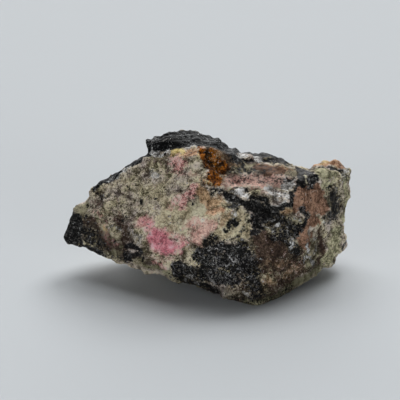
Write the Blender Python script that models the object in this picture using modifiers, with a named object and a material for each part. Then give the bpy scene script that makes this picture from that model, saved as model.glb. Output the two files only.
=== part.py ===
"""Rough tugtupite in its matrix: one natural stone, broken on all sides, about 73 mm long.

Metres, +Z up, X along the stone, -Y towards its broken front face. The origin is on the
surface it rests on, under the middle of its box.

The stone is built the way it came about. Convex blocks, each the hull of its corners, stand
for the masses between its fractures: a sugary body, a right-hand mass with a bench, the
ridge between them, a dark rind that caps the top, a rear ledge and knobs on the edges. Small
chips knock hidden corners off. The blocks are fused round a core, their skin is roughened
with undulations, splinters, crumbs and the rind's ledges, a few grooves and hollows are worn
in, and the foot is cut flat.
"""

import math
import random

import bmesh
import bpy
from mathutils import Vector, noise

MM = 0.001

# Block corners in millimetres
SUGARY_BODY = (
    (-37.2, 3, 9),  # left tip
    (-36.8, 5, 12),
    (-34.6, 5, 16),
    (-30.4, 5, 19.4),
    (-29.4, 5.5, 22.6),
    (-24.2, 6, 25.8),  # upper edge, rising to the right
    (-19, 6, 28.8),
    (-15.4, 5.5, 31),
    (-9, 4, 33.2),
    (-3, 2, 33.8),
    (-1, -1, 31),  # right edge, where the face turns to the bench
    (0.5, -6, 26.5),
    (1.5, -13, 20),
    (-12, -11, 13),
    (-30.4, 0, 7.1),  # lower edge, falling to the foot
    (-25.4, -3, 6.8),
    (-19.5, -6, 6.6),
    (-10.6, -9, 5),
    (-1.2, -12.5, 2.8),
    (7.5, -16, 1),
    (12.3, -18.4, -0.3),  # front of the foot
    (18, -7, -0.3),
    (-4, 4, -0.3),  # foot
    (3, 13, -0.3),
    (14, 12, -0.3),
    (-31, 13, 11),  # back
    (-28, 16, 18),
    (-13, 17, 28.5),
    (8, 20, 25),
    (-13, 16, 6),
    (6, 20, 7),
)
RIGHT_MASS = (
    (9, 4, 27.8),  # back edge of the bench
    (13.8, 5, 28),
    (22, 5, 27.8),
    (27.5, 0, 28.9),  # top of the front right edge
    (31.5, 4, 27.4),
    (36.3, 10, 24.8),
    (3.6, -6, 25.6),  # lip of the bench
    (9.2, -8, 23.3),
    (14.8, -9, 21.4),
    (19.8, -8, 24),
    (29.4, -1, 24),  # front right edge
    (29.4, -3, 17),
    (27, -5, 8),
    (23.4, -7, 1),
    (12.3, -18.4, -0.3),  # foot
    (16.4, -15, 0.2),
    (19.6, -11, -0.3),
    (28, -3.5, 2.4),
    (21, 4, -0.3),
    (36.8, 9, 21.6),  # right side
    (36.8, 8, 16),
    (36.2, 8, 10),
    (30, 14, 4),
    (35, 17, 20),  # back
    (30, 21, 18),
    (12, 20.5, 25),
    (10, 19, 5),
    (24, 19, 5),
)
FRONT_RIDGE = (
    (3.6, -6, 25.6),  # lip of the bench
    (9.2, -8, 23.3),
    (14.8, -9, 21.4),
    (-1, -9, 23),
    (1.5, -13, 20),
    (8, -14.5, 17),
    (12.6, -15, 15.5),
    (10, -17, 8),
    (12.3, -18.4, -0.3),  # down to the foot
    (7.5, -16, 1),
    (-1.2, -12.5, 2.8),
    (20, -9, 10),
    (12, 0, 10),
    (-4, -4, 8),
)
CLEFT_FLOOR = (
    (-1.7, 2.5, 34),  # falls from the rind to the bench
    (7.2, 8, 30.7),
    (8.4, 3, 28.7),
    (3, -3.5, 27),
    (0.4, -3.5, 27.8),
    (-0.5, -7, 26),
    (2.5, -9.2, 23.8),
    (4, -7, 25),
    (9.2, -7, 23),
    (-2, 8, 25),
    (10, 10, 24),
    (4, -6, 14),
)
CORE = (
    (-16, 7, 27),
    (-14, 15, 28.5),
    (-3, 17, 29.5),
    (6, 12, 28.5),
    (8, 5.5, 27),
    (22, 6, 26.5),
    (22, 17, 24),
    (8, 19, 26),
    (-22, 4, 12),
    (-20, 13, 10),
    (26, 2, 6),
    (26, 15, 7),
    (4, 20, 9),
    (8, -11, 4),
    (10, -9, 19),
    (-2, -5, 24),
)
REAR_LEDGE = (
    (6.5, 4, 29.2),
    (8.3, 10, 30),
    (10.9, 12, 29.4),
    (14.5, 13, 29.1),
    (18.1, 13, 27.9),
    (21, 12, 26.6),
    (23.4, 9, 26),
    (9, 18, 27.5),
    (20, 17, 25.5),
    (9, 20, 25),
    (20, 19.5, 22),
    (14, 8, 22),
)
RIND_CAP = (
    (-16.4, 7, 30.6),  # broken left end
    (-16.6, 9.5, 34.6),
    (-15.2, 10, 35.2),
    (-10.8, 11, 34.9),
    (-5.5, 12, 35.6),
    (-0.6, 12, 35),
    (2.7, 11, 33.8),
    (4.7, 10, 32.5),
    (8.4, 8, 30.7),
    (9.4, 4.5, 28.4),
    (0.6, 1.5, 33.6),  # edge over the sugary face
    (-3, 4.5, 33.9),
    (-9, 6, 33.3),
    (-15, 16, 32.5),
    (-2, 19, 31.5),
    (8, 18, 29),
    (-15, 12, 28),
    (-4, 12, 26),
)
RIGHT_KNOB = (
    (26.8, 8, 27.1),
    (29.8, 10, 28),
    (32, 11, 27.7),
    (34, 11, 27),
    (35.9, 11, 25.8),
    (36.7, 10, 25),
    (31, 5.5, 26.8),
    (28, 16, 25.5),
    (35, 16, 24),
    (32, 10, 20),
)
LOWER_RIGHT_LUMP = (
    (30, -1.5, 15),
    (34.4, 3, 14),
    (36.3, 5, 8.8),
    (35, 5, 4.4),
    (31, -1.5, 3),
    (29.4, -3.5, 8),
    (25, 8, 3),
    (35, 11, 7),
    (33, 12, 14),
)
LEFT_LUMP = (
    (-35, 4, 15.6),
    (-34, 4.2, 18),
    (-32.2, 4.4, 18.7),
    (-31, 4.4, 17.6),
    (-32, 3, 15.5),
    (-31, 8, 16),
    (-34, 8, 15.5),
)
BLOCKS = (
    SUGARY_BODY,
    RIGHT_MASS,
    FRONT_RIDGE,
    CLEFT_FLOOR,
    CORE,
    REAR_LEDGE,
    RIND_CAP,
    RIGHT_KNOB,
    LOWER_RIGHT_LUMP,
    LEFT_LUMP,
)

# Chips that the back lost when the stone broke out
CHIPPED_BLOCKS = (SUGARY_BODY, RIGHT_MASS, FRONT_RIDGE, RIND_CAP)
CHIP_SEED = 11
CHIP_TRIES = 60
CHIP_DEPTH_MM = (0.6, 3.0)

VOXEL_MM = 0.6
SMOOTHING_PASSES = 2
FOOT_CUT_MM = 0.35
TRIANGLES = 9400

# The rind splits in layers that face up and back
RIND_FACING = Vector((-0.04, 0.62, 0.78)).normalized()
RIND_STARTS_AT = Vector((-10, 5.5, 32))
LEDGE_STEP_MM = 2.1

SPLINTER_SEED = 7
SPLINTER_MM = 8.0
SPLINTER_TILT = 0.27

# Hollows and grooves: two ends in millimetres, radius and depth
HOLLOWS = (
    ((1, 0, 32), (3, -3, 28), 2.6, 0.6),  # cleft between the face and the bench
    ((7, -12, 20), (17, -11, 18), 2.4, 0.6),  # under the lip of the bench
    ((28.6, -4.5, 17), (28.4, -4.5, 6), 1.3, 1.0),  # groove beside the lower right lump
    ((25.2, 6, 28.5), (25.6, 14, 27), 1.8, 0.9),  # notch before the right knob
    ((-15.5, -9.5, 16), (-15, -10.5, 9), 1.4, 0.55),  # beside the pink heart
    ((-20, 18, 22), (-4, 20, 12), 5, 1.6),  # scoop in the back
    ((14, 21, 20), (24, 20, 9), 4, 1.3),
)
# Swellings: middle in millimetres, radius and height
SWELLINGS = (
    ((-10.5, -10.5, 13.5), 3.6, 0.9),  # pink heart
    ((-1.5, -12, 21), 5, 0.7),
    ((3.5, -10.5, 21.5), 3.5, 0.8),
    ((-25, 0, 17), 6, 0.6),
    ((4, -16, 13.5), 4, 0.6),
    ((24, -5, 21), 5, 0.5),
    ((16, -14, 8), 5, 0.7),
    ((-20, 15, 14), 6, 1.2),
    ((14, 19.5, 15), 6, 1.0),
    ((35, 9, 17), 5, 0.6),
)


def smoothstep(low, high, x):
    """0 below low, 1 above high, and an even turn between."""
    t = min(1.0, max(0.0, (x - low) / (high - low)))
    return t * t * (3 - 2 * t)


def hull_of(corners):
    """A bmesh with the convex hull of the corners, in millimetres."""
    bm = bmesh.new()
    verts = [bm.verts.new(corner) for corner in corners]
    made = bmesh.ops.convex_hull(bm, input=verts)
    inside = {v for v in made["geom_interior"] if isinstance(v, bmesh.types.BMVert)}
    bmesh.ops.delete(bm, geom=list(inside), context="VERTS")
    bmesh.ops.recalc_face_normals(bm, faces=bm.faces)
    return bm


def knock_off(bm, facing, depth):
    """Breaks off the corner that reaches furthest towards facing, along a flat fracture."""
    reach = max(v.co.dot(facing) for v in bm.verts)
    bmesh.ops.bisect_plane(
        bm,
        geom=bm.verts[:] + bm.edges[:] + bm.faces[:],
        plane_co=facing * (reach - depth),
        plane_no=facing,
        clear_outer=True,
    )
    bmesh.ops.holes_fill(bm, edges=bm.edges)


def chip_hidden_corners(bm, rng):
    """Chips at random on the back, and none where the front face would show them."""
    for _ in range(CHIP_TRIES):
        facing = Vector([rng.uniform(-1, 1) for _ in range(3)]).normalized()
        depth = rng.uniform(*CHIP_DEPTH_MM)
        if facing.y > 0.35 and abs(facing.z) < 0.5:
            knock_off(bm, facing, depth)


def fused_blocks():
    """All the blocks as one closed mesh of even quads."""
    rng = random.Random(CHIP_SEED)
    joined = bmesh.new()
    for corners in BLOCKS:
        block = hull_of(corners)
        if corners in CHIPPED_BLOCKS:
            chip_hidden_corners(block, rng)
        bmesh.ops.scale(block, vec=(MM, MM, MM), verts=block.verts)
        piece = bpy.data.meshes.new("block")
        block.to_mesh(piece)
        block.free()
        joined.from_mesh(piece)
        bpy.data.meshes.remove(piece)
    mesh = bpy.data.meshes.new("stone")
    joined.to_mesh(mesh)
    joined.free()
    stone = bpy.data.objects.new("stone", mesh)
    bpy.context.scene.collection.objects.link(stone)
    return stone


def one_skin(stone):
    """Melts what overlaps into one closed skin of even quads."""
    fuse = stone.modifiers.new("fuse", "REMESH")
    fuse.mode = "VOXEL"
    fuse.voxel_size = VOXEL_MM * MM
    apply_modifiers(stone)


def apply_modifiers(obj):
    """Replaces the object's mesh with what its modifiers make of it."""
    graph = bpy.context.evaluated_depsgraph_get()
    done = bpy.data.meshes.new_from_object(obj.evaluated_get(graph))
    obj.modifiers.clear()
    obj.data = done


def distance_to_stretch(p, a, b):
    """How far p lies from the straight stretch between a and b."""
    along = b - a
    t = max(0.0, min(1.0, (p - a).dot(along) / along.length_squared))
    return (p - a - along * t).length


def rind_share(p):
    """1 on the dark rind, 0 on the sugary body, with a wandering border."""
    outside = (p - RIND_STARTS_AT).dot(RIND_FACING)
    return smoothstep(-0.8, 0.8, outside + 1.5 * noise.noise(p / 6))


def undulation(p):
    """Broad swells, and sharper ridges where fractures met."""
    broad = 0.9 * noise.noise(p / 13) + 0.5 * noise.noise(p / 6.5)
    ridged = 0.5 - abs(noise.noise(p / 9 + Vector((7, 3, 1))))
    return broad + 0.6 * ridged


def splinters(p):
    """Small flat fractures, each with its own tilt, about 8 mm across."""
    q = p / SPLINTER_MM
    distances, middles = noise.voronoi(q)
    tilts = [(q - c).dot(noise.noise_vector(c * 5.3)) for c in middles[:2]]
    own = 0.5 + 0.5 * smoothstep(0, 0.12, distances[1] - distances[0])
    return SPLINTER_MM * SPLINTER_TILT * (own * tilts[0] + (1 - own) * tilts[1])


def crumbs(p):
    """Rounded lumps about 4 mm across, as in a granular mineral."""
    nearest = noise.voronoi(p / 4.2)[0][0]
    return 0.5 - nearest


def ledges(p):
    """How far the rind's layers step out or in, along the way that they face."""
    height = p.dot(RIND_FACING) + 1.6 * noise.noise(p / 8)
    share = height / LEDGE_STEP_MM
    rise = share - math.floor(share)
    return LEDGE_STEP_MM * (smoothstep(0.3, 0.7, rise) - rise)


def hollowed(p):
    """How deep the grooves and hollows cut at p."""
    cut = 0.0
    for start, end, radius, depth in HOLLOWS:
        away = distance_to_stretch(p, Vector(start), Vector(end))
        cut += depth * (1 - smoothstep(0, radius, away))
    return cut


def swollen(p):
    """How far the swellings stand out at p."""
    out = 0.0
    for middle, radius, height in SWELLINGS:
        out += height * (1 - smoothstep(0, radius, (p - Vector(middle)).length))
    return out


def roughen(stone):
    """Moves each point of the skin by the stone's relief."""
    mesh = stone.data
    bm = bmesh.new()
    bm.from_mesh(mesh)
    for _ in range(SMOOTHING_PASSES):
        bmesh.ops.smooth_vert(
            bm, verts=bm.verts, factor=0.5, use_axis_x=True, use_axis_y=True, use_axis_z=True
        )
    bm.normal_update()
    moves = []
    for v in bm.verts:
        p = v.co / MM
        rind = rind_share(p)
        above_foot = smoothstep(0.3, 3, p.z)
        out = undulation(p) + (0.9 - 0.5 * rind) * crumbs(p) + splinters(p)
        out += swollen(p) - hollowed(p)
        step = 0.65 * rind * ledges(p)
        moves.append((v.normal * (0.8 * out) + RIND_FACING * step) * above_foot * MM)
    for v, move in zip(bm.verts, moves):
        v.co += move
    bm.to_mesh(mesh)
    bm.free()


def thin_out(stone):
    """Fewer triangles, most of them left where the relief is sharp."""
    faces = sum(len(p.vertices) - 2 for p in stone.data.polygons)
    decimate = stone.modifiers.new("thin", "DECIMATE")
    decimate.ratio = TRIANGLES / faces
    apply_modifiers(stone)


def flat_foot(stone):
    """Cuts the underside flat and puts the origin under the middle of the box."""
    bm = bmesh.new()
    bm.from_mesh(stone.data)
    bmesh.ops.bisect_plane(
        bm,
        geom=bm.verts[:] + bm.edges[:] + bm.faces[:],
        plane_co=(0, 0, FOOT_CUT_MM * MM),
        plane_no=(0, 0, -1),
        clear_outer=True,
    )
    bmesh.ops.holes_fill(bm, edges=bm.edges)
    bmesh.ops.triangulate(bm, faces=bm.faces)
    low = [min(v.co[i] for v in bm.verts) for i in range(3)]
    high = [max(v.co[i] for v in bm.verts) for i in range(3)]
    middle = Vector(((low[0] + high[0]) / 2, (low[1] + high[1]) / 2, low[2]))
    bmesh.ops.translate(bm, verts=bm.verts, vec=-middle)
    bmesh.ops.recalc_face_normals(bm, faces=bm.faces)
    bm.to_mesh(stone.data)
    bm.free()


def stone_material():
    """Grey-beige, dull, as the sugary body looks from a few steps away."""
    material = bpy.data.materials.new("sugary_albite")
    material.use_nodes = True
    shader = material.node_tree.nodes["Principled BSDF"]
    shader.inputs["Base Color"].default_value = (0.27, 0.24, 0.19, 1)
    shader.inputs["Roughness"].default_value = 0.75
    shader.inputs["Metallic"].default_value = 0.0
    return material


def main():
    for old in list(bpy.data.objects):
        bpy.data.objects.remove(old)
    noise.seed_set(SPLINTER_SEED)
    stone = fused_blocks()
    one_skin(stone)
    roughen(stone)
    thin_out(stone)
    flat_foot(stone)
    stone.data.materials.append(stone_material())
    collection = bpy.data.collections.new("tugtupite")
    bpy.context.scene.collection.children.link(collection)
    bpy.context.scene.collection.objects.unlink(stone)
    collection.objects.link(stone)


main()
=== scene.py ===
# %% [markdown]
# # A rough tugtupite in its matrix
#
# The real object is one broken stone about 73 mm long. Several minerals grew together in it:
# grey-beige sugary albite, pink tugtupite, black arfvedsonite, and stains of rust. The solid
# already has the stone's form. This lesson gives it a skin: finer relief in the mesh, and a
# colour for each mineral, put where the photograph shows it.

# %% The imported solid
import math

import bmesh
import bpy
import numpy as np
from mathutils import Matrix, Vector, noise
from mathutils.bvhtree import BVHTree


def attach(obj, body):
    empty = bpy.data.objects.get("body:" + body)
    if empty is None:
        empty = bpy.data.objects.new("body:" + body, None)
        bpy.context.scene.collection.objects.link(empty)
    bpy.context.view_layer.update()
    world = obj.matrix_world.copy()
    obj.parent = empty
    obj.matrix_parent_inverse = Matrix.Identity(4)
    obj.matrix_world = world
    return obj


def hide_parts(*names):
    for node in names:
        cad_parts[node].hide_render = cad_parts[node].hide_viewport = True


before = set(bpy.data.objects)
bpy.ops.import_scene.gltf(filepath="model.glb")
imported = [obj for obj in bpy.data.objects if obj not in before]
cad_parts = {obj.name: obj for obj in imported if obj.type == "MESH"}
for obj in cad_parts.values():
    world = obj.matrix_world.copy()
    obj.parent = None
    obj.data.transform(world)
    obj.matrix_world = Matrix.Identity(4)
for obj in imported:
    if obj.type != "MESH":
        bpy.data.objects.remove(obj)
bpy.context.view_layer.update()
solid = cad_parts["stone"]
MM = 0.001
NOISE_SEED = 3
noise.seed_set(NOISE_SEED)

# %% [markdown]
# ## The camera comes first
#
# The minerals are placed by pixels of the photograph, so the camera has to stand where the
# real one stood. The stone's silhouette gave its rise above the floor and its distance. A long
# lens keeps the edges of the stone nearly parallel, as in the photograph.

# %% Camera
FRAME_PIXELS = 400
SENSOR_MM = 36.0
LENS_MM = 143.4
CAMERA_RISE = math.radians(22)
CAMERA_DISTANCE = 0.4
CAMERA_TARGET = Vector((-0.00263, -0.00107, 0.02075))

to_camera = Vector((0, -math.cos(CAMERA_RISE), math.sin(CAMERA_RISE)))
camera_up = Vector((0, math.sin(CAMERA_RISE), math.cos(CAMERA_RISE)))
camera_right = Vector((1, 0, 0))
camera_place = CAMERA_TARGET + to_camera * CAMERA_DISTANCE

lens = bpy.data.cameras.new("camera")
lens.lens = LENS_MM
lens.sensor_width = SENSOR_MM
lens.clip_start = 0.01
camera = bpy.data.objects.new("camera", lens)
camera.location = camera_place
camera.rotation_euler = (math.pi / 2 - CAMERA_RISE, 0, 0)
bpy.context.scene.collection.objects.link(camera)
bpy.context.scene.camera = camera
print("the camera stands at", [round(c, 3) for c in camera_place])

# %% [markdown]
# ## The skin
#
# The solid is made of flat triangles about 1.5 mm long. A voxel remesh lays an even net of
# small quads over them, and a little smoothing takes the edges off the triangles. What is left
# is the same form, with enough points to carry grains and pits as real shape.

# %% A fine, even skin over the solid
SKIN_VOXEL_MM = 0.335
SKIN_SMOOTHING = 2


def skin_of(original, voxel):
    """A new object with an even net of quads laid over the original."""
    bm = bmesh.new()
    bm.from_mesh(original.data)
    bmesh.ops.remove_doubles(bm, verts=bm.verts, dist=0.000001)
    mesh = bpy.data.meshes.new("tugtupite_stone")
    bm.to_mesh(mesh)
    bm.free()
    skin = bpy.data.objects.new("tugtupite_stone", mesh)
    bpy.context.scene.collection.objects.link(skin)
    net = skin.modifiers.new("net", "REMESH")
    net.mode = "VOXEL"
    net.voxel_size = voxel
    graph = bpy.context.evaluated_depsgraph_get()
    skin.data = bpy.data.meshes.new_from_object(skin.evaluated_get(graph))
    skin.modifiers.clear()
    return skin


def smooth(obj, passes):
    bm = bmesh.new()
    bm.from_mesh(obj.data)
    for _ in range(passes):
        bmesh.ops.smooth_vert(
            bm, verts=bm.verts, factor=0.5, use_axis_x=True, use_axis_y=True, use_axis_z=True
        )
    bm.to_mesh(obj.data)
    bm.free()


def read_points(kind):
    """The skin's points or normals, as a table with one row for each point."""
    values = np.empty(count * 3, np.float32)
    stone.data.vertices.foreach_get(kind, values)
    return values.reshape(-1, 3)


stone = skin_of(solid, SKIN_VOXEL_MM * MM)
smooth(stone, SKIN_SMOOTHING)
count = len(stone.data.vertices)
places = read_points("co") / MM
print("the skin has", count, "points")

# %% [markdown]
# ## From a pixel to a place on the stone
#
# A ray from the camera through a pixel of the photograph meets the skin where that pixel's
# mineral lies. Where the ray just misses the outline, it is moved towards the middle of the
# stone until it meets the skin.

# %% Sight lines
PIXELS_PER_UNIT = LENS_MM / SENSOR_MM * FRAME_PIXELS
PIXELS_PER_MM = PIXELS_PER_UNIT / CAMERA_DISTANCE * MM
STONE_MIDDLE_PIXEL = Vector((215, 215))
STEP_INWARD = 0.01


def sight_line(pixel):
    across = (pixel.x - FRAME_PIXELS / 2) / PIXELS_PER_UNIT
    upward = (FRAME_PIXELS / 2 - pixel.y) / PIXELS_PER_UNIT
    return (camera_right * across + camera_up * upward - to_camera).normalized()


def on_front(pixel, tree):
    """The place in millimetres that the photograph shows at a pixel."""
    pixel = Vector(pixel)
    for step in range(60):
        nearer = pixel.lerp(STONE_MIDDLE_PIXEL, step * STEP_INWARD)
        hit = tree.ray_cast(camera_place, sight_line(nearer))[0]
        if hit:
            return hit / MM
    raise ValueError(f"no stone near pixel {pixel}")


def smoothstep(low, high, x):
    t = np.clip((x - low) / (high - low), 0, 1)
    return t * t * (3 - 2 * t)


def skin_tree():
    bpy.context.view_layer.update()
    return BVHTree.FromObject(stone, bpy.context.evaluated_depsgraph_get())


tree = skin_tree()
print("one millimetre is about", round(PIXELS_PER_MM, 2), "pixels")

# %% [markdown]
# ## The outline's last millimetre
#
# The solid follows the photograph's outline to within a millimetre or so. A few soft pulls,
# each from one pixel to another, bring out the pointed left tip, the notch above the pale
# lump, the slope of the rind's top and the narrow right end.

# %% Soft pulls
PULLS = {
    "left tip": {"from": (67, 240), "to": (63.2, 239.5), "reach": 14},
    "under the left tip": {"from": (84, 247), "to": (84, 248.5), "reach": 12},
    "pale lump": {"from": (71, 210), "to": (72.5, 210), "reach": 6},
    "notch over the pale lump": {"from": (82, 196), "to": (85.5, 198.5), "reach": 13},
    "left edge": {"from": (104, 174), "to": (104.8, 175.8), "reach": 12},
    "upper left edge": {"from": (112, 170), "to": (113.5, 172.5), "reach": 14},
    "right of the upper left edge": {"from": (126, 163), "to": (126.5, 164.3), "reach": 10},
    "below the cap": {"from": (143, 149), "to": (146, 150.5), "reach": 9},
    "cap's left end": {"from": (156, 130.5), "to": (156, 135), "reach": 14},
    "cap's right slope": {"from": (209, 129), "to": (209, 133.5), "reach": 16},
    "cap's right end": {"from": (229, 140), "to": (227, 145), "reach": 15},
    "behind the streak": {"from": (242, 150), "to": (242, 151.2), "reach": 8},
    "ledge's top": {"from": (262, 150.5), "to": (262, 151.5), "reach": 9},
    "saddle before the knob": {"from": (303, 162), "to": (303, 167), "reach": 22},
    "knob": {"from": (326, 159), "to": (326, 160), "reach": 12},
    "knob's corner": {"from": (345, 162), "to": (344, 165), "reach": 10},
    "right end, top": {"from": (353, 178), "to": (351, 178), "reach": 9},
    "right end": {"from": (353, 198), "to": (348.5, 198), "reach": 24},
    "right end, middle": {"from": (348, 219), "to": (346.2, 219), "reach": 13},
    "right end, low": {"from": (347, 233), "to": (345, 233), "reach": 8},
    "right end, bottom": {"from": (340, 256), "to": (337, 256), "reach": 7},
    "dark chip": {"from": (344, 246), "to": (346, 246.5), "reach": 9},
    "underside": {"from": (184, 286), "to": (184, 283.5), "reach": 18},
}


def to_pixels(points):
    """Where the camera sees each point, in pixels."""
    offsets = points * MM - np.array(camera_place)
    depth = -(offsets @ np.array(to_camera))
    across = offsets @ np.array(camera_right) / depth * PIXELS_PER_UNIT
    upward = offsets @ np.array(camera_up) / depth * PIXELS_PER_UNIT
    return np.column_stack([FRAME_PIXELS / 2 + across, FRAME_PIXELS / 2 - upward])


def pull(seen_at, start, end, reach):
    """How far each point moves, in millimetres, when one pixel is pulled to another."""
    away = np.linalg.norm(seen_at - np.array(start), axis=1) / reach
    weight = 1 - smoothstep(0.25, 1.0, away)
    shift = (Vector(end) - Vector(start)) / PIXELS_PER_MM
    return weight[:, None] * np.array(camera_right * shift.x - camera_up * shift.y)


seen_at = to_pixels(places)
places += sum(pull(seen_at, p["from"], p["to"], p["reach"]) for p in PULLS.values())
stone.data.vertices.foreach_set("co", (places * MM).ravel())
stone.data.update()
tree = skin_tree()
normals = read_points("normal")
print("soft pulls:", len(PULLS))

# %% [markdown]
# ## Shares of each mineral
#
# Each point of the skin keeps a number from 0 to 1 for each mineral: how much of it there is.
# A line of pixels sets it along a line of places on the stone. Near the line the share is 1,
# and it falls to 0 over the fade. The material later turns a half share into a crumbly mix,
# where every second grain is of that mineral, which is how minerals that grew together meet.
#
# The points are bent a little by noise before the distance is measured, so that no border is a
# clean arc. Distances along the line of sight count for less, because the photograph
# foreshortens the faces that turn away.

# %% Brush strokes
BENDS = {3.4: 0.7, 1.5: 0.7, 0.7: 0.4}
DEPTH_COUNTS = 0.45


def flattened(points):
    """The places with their depth, as seen from the camera, made smaller."""
    away = np.array(to_camera)
    return points - (points @ away)[..., None] * away * (1 - DEPTH_COUNTS)


def bent(all_places):
    """The places moved by noises; BENDS gives a strength for each size, in millimetres."""
    moved = np.empty_like(all_places)
    for i, place in enumerate(all_places):
        p = Vector(place)
        shifts = [noise.noise_vector(p / size) * strength for size, strength in BENDS.items()]
        moved[i] = p + sum(shifts, Vector())
    return moved


brushed_at = flattened(bent(places))
shares = {}


def line(*pixels, wide, fade=0.9, share=1.0):
    """A stroke along pixels of the photograph; wide and fade are in millimetres."""
    return {"pixels": pixels, "wide": wide, "fade": fade, "share": share}


def distance_to(a, b):
    """How far each point lies from the stretch between two places."""
    along = b - a
    length = max(float(along @ along), 1e-9)
    t = np.clip((brushed_at - a) @ along / length, 0, 1)
    return np.linalg.norm(brushed_at - a - t[:, None] * along, axis=1)


def brush(mineral, strokes):
    """Paints a mineral's strokes; where they overlap, the larger share counts."""
    painted = shares.get(mineral, np.zeros(count, np.float32))
    for stroke in strokes.values():
        stops = [flattened(np.array(on_front(pixel, tree))) for pixel in stroke["pixels"]]
        nearest = distance_to(stops[0], stops[0])
        for a, b in zip(stops, stops[1:]):
            nearest = np.minimum(nearest, distance_to(a, b))
        fade = stroke["fade"]
        covered = np.clip((stroke["wide"] / 2 + fade / 2 - nearest) / fade, 0, 1)
        painted = np.maximum(painted, covered * stroke["share"])
    shares[mineral] = painted
    print(mineral, "has", len(strokes), "strokes")


# %% [markdown]
# ## The rind
#
# The rind that caps the stone is splintery black arfvedsonite. It lies over the top and down
# the back, and its broken edge shows as a band along the top of the front. Behind the outline
# it covers what faces up and back, as the solid's ledges do.

# %% Rind
RIND_FACING = Vector((-0.04, 0.62, 0.78)).normalized()
RIND_STARTS_AT = Vector((-10.7, 4.4, 31.6))
RIND_WANDER_MM = 1.3
RIND = {
    "cap": line((152, 145), (162, 141), (174, 139), (186, 138), (198, 138), (209, 141), wide=3.6),
    "cap, right": line((209, 141), (219, 145), (229, 150), (237, 157), wide=2.6),
    "cap's left end": line((149, 140), (149, 147), (152, 149), wide=2.0),
    "fall of the cap": line((229, 150), (237, 158), (242, 164), (243, 170), wide=1.4),
    "thin left edge": line(
        (93, 187), (100, 180.5), (107, 176), (114, 172.5), (121, 169), (128, 164.5), (135, 160.5),
        wide=2.0, fade=0.5,
    ),
    "thick of the edge": line((112, 176), (119, 173), wide=1.3, fade=0.6),
    "edge under the cap": line((134, 162.5), (141, 158.5), (147, 154.5), wide=2.2, fade=0.5),
    "rear ledge": line((257, 154), (270, 155), (281, 159), (290, 164), wide=2.6),
    "rear ledge, front": line((262, 160), (274, 161), (285, 165), wide=1.6, share=0.8),
    "line under the streak": line((241, 160), (252, 160), (262, 161), (274, 162), wide=0.8, fade=0.4),
    "line to the knob": line(
        (274, 162), (288, 165), (297, 168), (306, 169), (316, 169), (327, 169.5), wide=0.7, fade=0.4
    ),
}


def noise_field(size, offset=0.0):
    """Noise from about -1 to 1 at each point, with lumps of the given size in millimetres."""
    shift = Vector((offset, offset * 0.7, offset * 1.3))
    return np.array([noise.noise(Vector(p) / size + shift) for p in places], np.float32)


facing_camera = normals @ np.array(to_camera, np.float32)
hidden = 1 - smoothstep(-0.15, 0.1, facing_camera)
past_plane = (places - np.array(RIND_STARTS_AT)) @ np.array(RIND_FACING, np.float32)
past_plane += RIND_WANDER_MM * noise_field(6, 4.0)
faces_rind = normals @ np.array(RIND_FACING, np.float32) + 0.25 * noise_field(5, 9.0)
shares["rind"] = smoothstep(-1.2, 0.8, past_plane)
shares["rind"] = np.maximum(shares["rind"], smoothstep(0.1, 0.45, faces_rind) * hidden)
windows = smoothstep(0.06, 0.26, noise_field(13, 61.0) + 0.45 * noise_field(3.2, 67.0)) * hidden
shares["rind"] *= 1 - windows
brush("rind", RIND)
print("rind covers", round(float((shares["rind"] > 0.5).mean()) * 100), "percent of the skin")

# %% [markdown]
# ## Speckled ground
#
# Under the bench and round the black crystals the pale minerals and the black ones are mixed so
# finely that the ground looks dark brown with pale dots. It gets wide, soft strokes.

# %% Speckled ground
SPECKLED = {
    "lower front": line((208, 250), (222, 256), (238, 262), (250, 272), wide=8.0, fade=3.0, share=0.8),
    "lower edge": line((176, 268), (196, 274), (220, 280), (240, 288), wide=4.0, fade=3.0, share=0.66),
    "under the vein": line((256, 208), (268, 218), (282, 226), (296, 232), wide=5.0, fade=3.0, share=0.85),
    "middle": line((258, 244), (276, 246), (294, 250), wide=5.5, fade=3.0, share=0.9),
    "lower right": line((260, 262), (280, 264), (300, 264), wide=6.5, fade=3.5, share=0.85),
    "bottom": line((246, 282), (262, 288), (284, 278), (306, 266), wide=5.0, fade=3.5, share=0.82),
    "bottom edge": line((236, 296), (256, 302), (280, 294), (300, 280), wide=3.0, fade=2.0, share=0.75),
    "right groove": line((318, 228), (319, 244), (318, 262), wide=2.2, fade=2.2, share=0.75),
    "slope": line((213, 148), (224, 154), (234, 162), (238, 172), wide=3.8, fade=2.0, share=0.85),
    "round the rust": line((206, 160), (210, 170), (216, 180), wide=3.6, fade=2.0, share=0.72),
    "bench's back": line((254, 170), (270, 172), (286, 174), wide=2.4, fade=2.0, share=0.5),
    "bench's left": line((224, 184), (234, 180), (244, 174), wide=2.4, fade=2.0, share=0.5),
    "left face": line((84, 230), (92, 236), (102, 242), (116, 249), wide=5.0, fade=4.0, share=0.86),
    "left face, up": line((80, 215), (86, 216), (94, 222), wide=2.4, fade=2.4, share=0.72),
    "left edge": line((96, 192), (103, 199), wide=2.0, fade=2.6, share=0.55),
    "under the cap": line((150, 162), (162, 163), (173, 161), wide=2.0, fade=2.4, share=0.55),
    "right end": line((330, 192), (336, 204), (333, 214), wide=3.2, fade=2.4, share=0.75),
    "corner": line((300, 172), (306, 182), wide=4.2, fade=1.6, share=0.85),
    "by the blobs": line((230, 206), (234, 216), (228, 228), wide=2.0, fade=2.0, share=0.5),
}
brush("speckled", SPECKLED)

# %% [markdown]
# ## Black crystals
#
# Arfvedsonite also fills the left tip, the lower front and a vein that winds under the bench.
# Where it is solid it is called jet here. Elsewhere it is mixed with pale flecks, and in the
# pale minerals it stands as single grains.

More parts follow.
